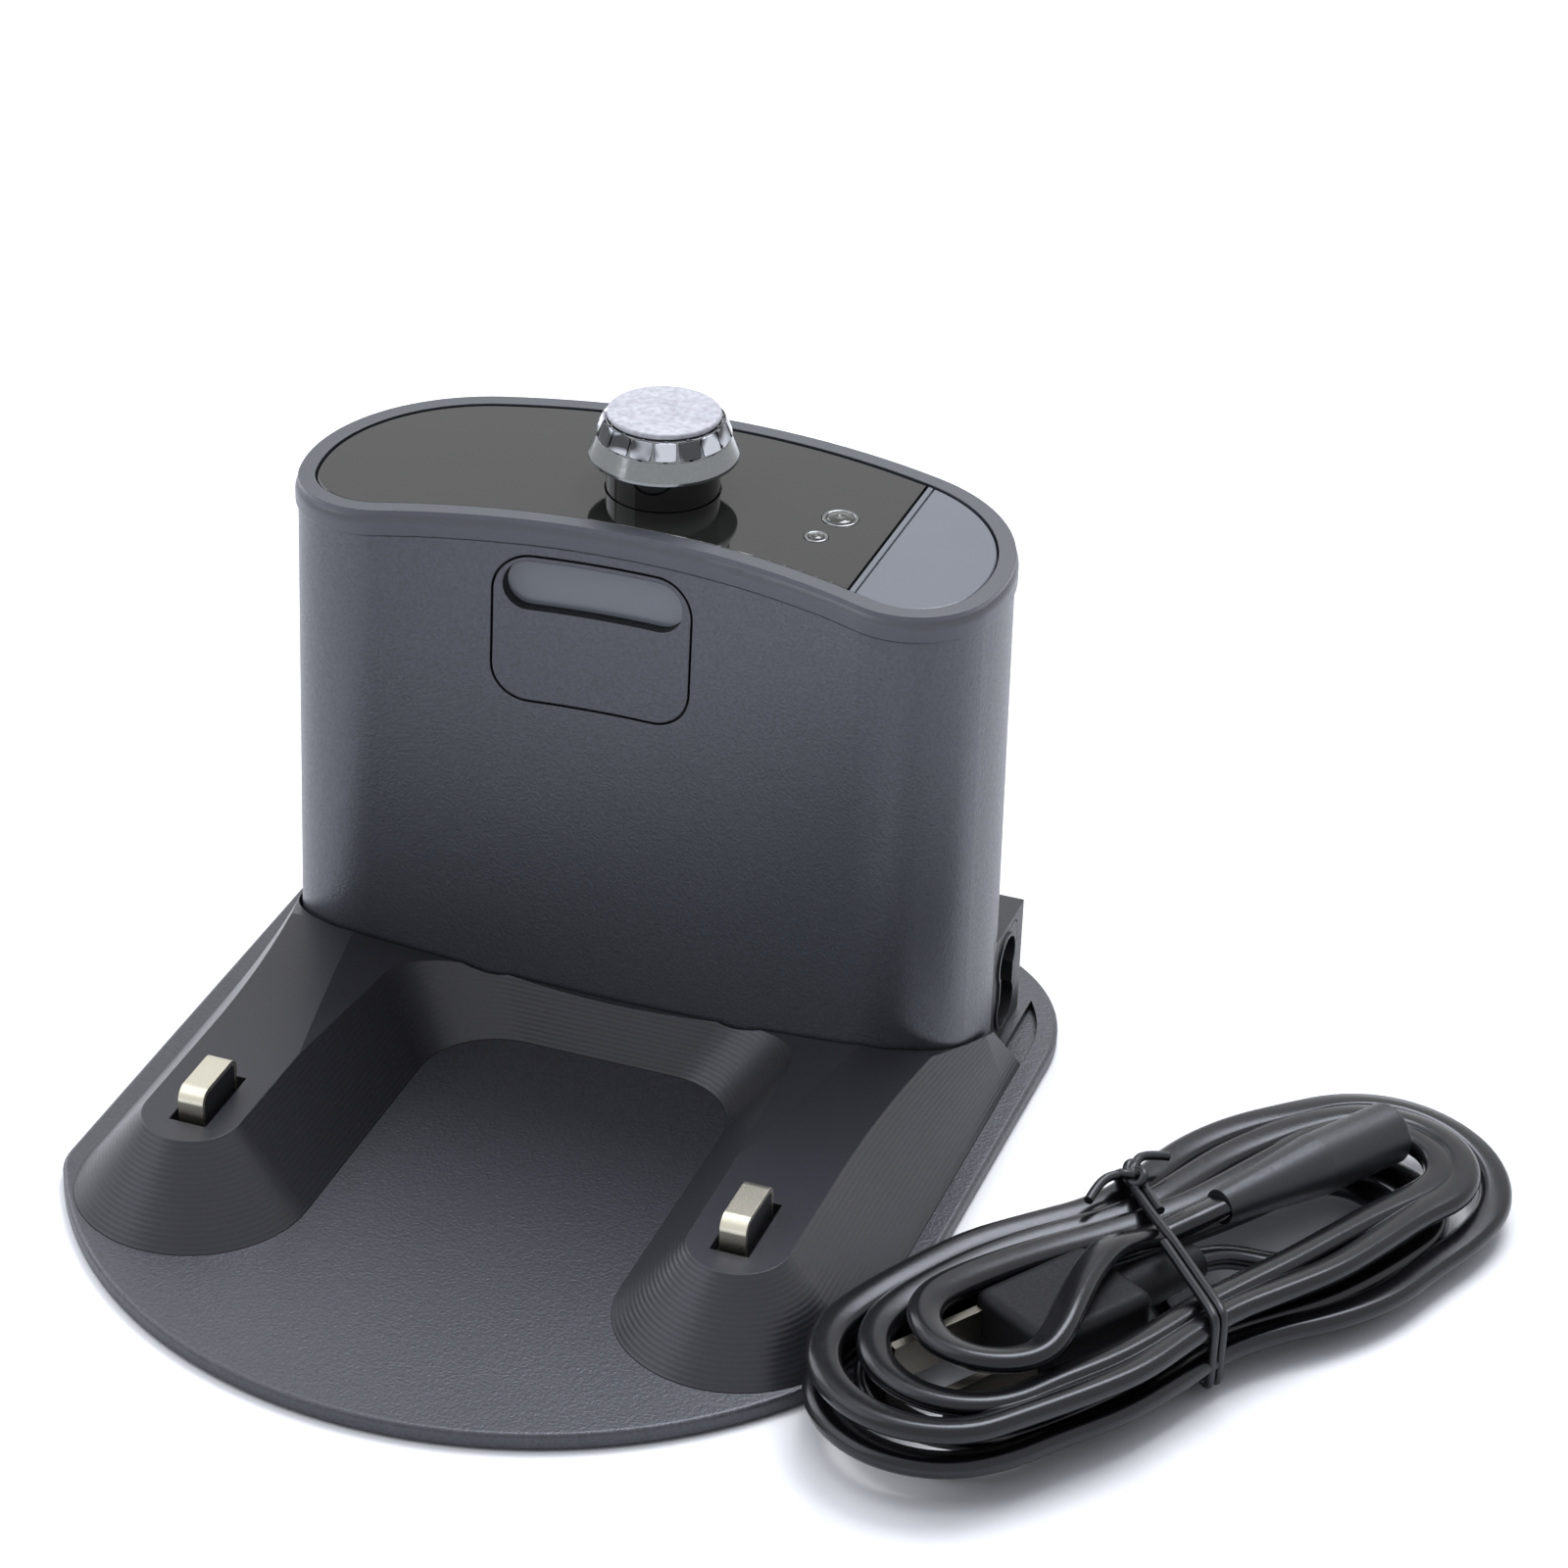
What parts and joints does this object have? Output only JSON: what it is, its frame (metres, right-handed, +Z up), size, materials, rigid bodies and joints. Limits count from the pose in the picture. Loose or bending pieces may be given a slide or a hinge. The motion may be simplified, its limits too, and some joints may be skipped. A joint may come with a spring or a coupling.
{
  "type": "robot vacuum charging dock",
  "caption": "Charging dock for a robot vacuum: bean-shaped tower on a ramped base, with sprung charging contacts, a beacon, an infrared window and a mains inlet with its coiled lead.",
  "frame": {"origin": "on the floor, under the middle of the base plate", "axes": "+X right, +Y back (the robot drives in from -Y), +Z up"},
  "size_m": [0.2156, 0.16, 0.107],
  "materials": {
    "plate_abs": "fine texture",
    "ridge_abs": "fine contour lines",
    "tower_abs": "satin texture",
    "panel_gloss": "polished",
    "panel_satin": "satin",
    "smoked_gloss": "smoked, polished",
    "chrome_plate": "plated",
    "band_clear": "clear, ribbed",
    "emitter_clear": "clear resin",
    "plaque_grey": "plain, bare",
    "window_smoke": "smoked",
    "lens_clear": "clear",
    "led_body": "moulded",
    "board_green": "solder mask",
    "socket_black": "moulded",
    "nickel": "nickel plated",
    "spring_steel": "drawn wire",
    "core_tape": "taped winding",
    "can_aluminium": "drawn can",
    "foot_rubber": "moulded",
    "lead_vinyl": "extruded, satin",
    "tie_vinyl": "sleeved wire",
    "blade_brass": "stamped"
  },
  "bodies": {
    "dock": {"base_plate": "plate_abs", "ridge_cover": "ridge_abs", "tower_shell": "tower_abs", "top_panel": "panel_gloss", "top_end_panel": "panel_satin", "beacon_neck": "smoked_gloss", "beacon_flare": "chrome_plate", "beacon_light_band": "band_clear", "beacon_cap": "panel_gloss", "beacon_emitter": "emitter_clear", "front_plaque": "plaque_grey", "window_lens": "window_smoke", "status_lens": "lens_clear", "pilot_lens": "lens_clear", "status_leds": "led_body", "light_board": "board_green", "inlet_socket": "socket_black", "inlet_pins": "nickel", "contact_spring_left": "spring_steel", "contact_spring_right": "spring_steel", "main_board": "board_green", "transformer": "core_tape", "capacitor": "can_aluminium", "front_emitters": "emitter_clear", "base_screws": "spring_steel", "rubber_feet": "foot_rubber", "lead_hank": "lead_vinyl", "lead_tie": "tie_vinyl", "lead_connector": "lead_vinyl", "lead_plug": "lead_vinyl", "lead_plug_blades": "blade_brass"},
    "left_contact": {"contact_left": "nickel", "contact_carrier_left": "socket_black"},
    "right_contact": {"contact_right": "nickel", "contact_carrier_right": "socket_black"}
  },
  "joints": [
    {"name": "left_contact_press", "type": "slide", "parent": "dock", "child": "left_contact", "axis": [0, 0, -1], "range_m": [0, 0.003], "stiffness_N_per_m": 400, "deforming": ["contact_spring_left"]},
    {"name": "right_contact_press", "type": "slide", "parent": "dock", "child": "right_contact", "axis": [0, 0, -1], "range_m": [0, 0.003], "stiffness_N_per_m": 400, "deforming": ["contact_spring_right"]}
  ]
}
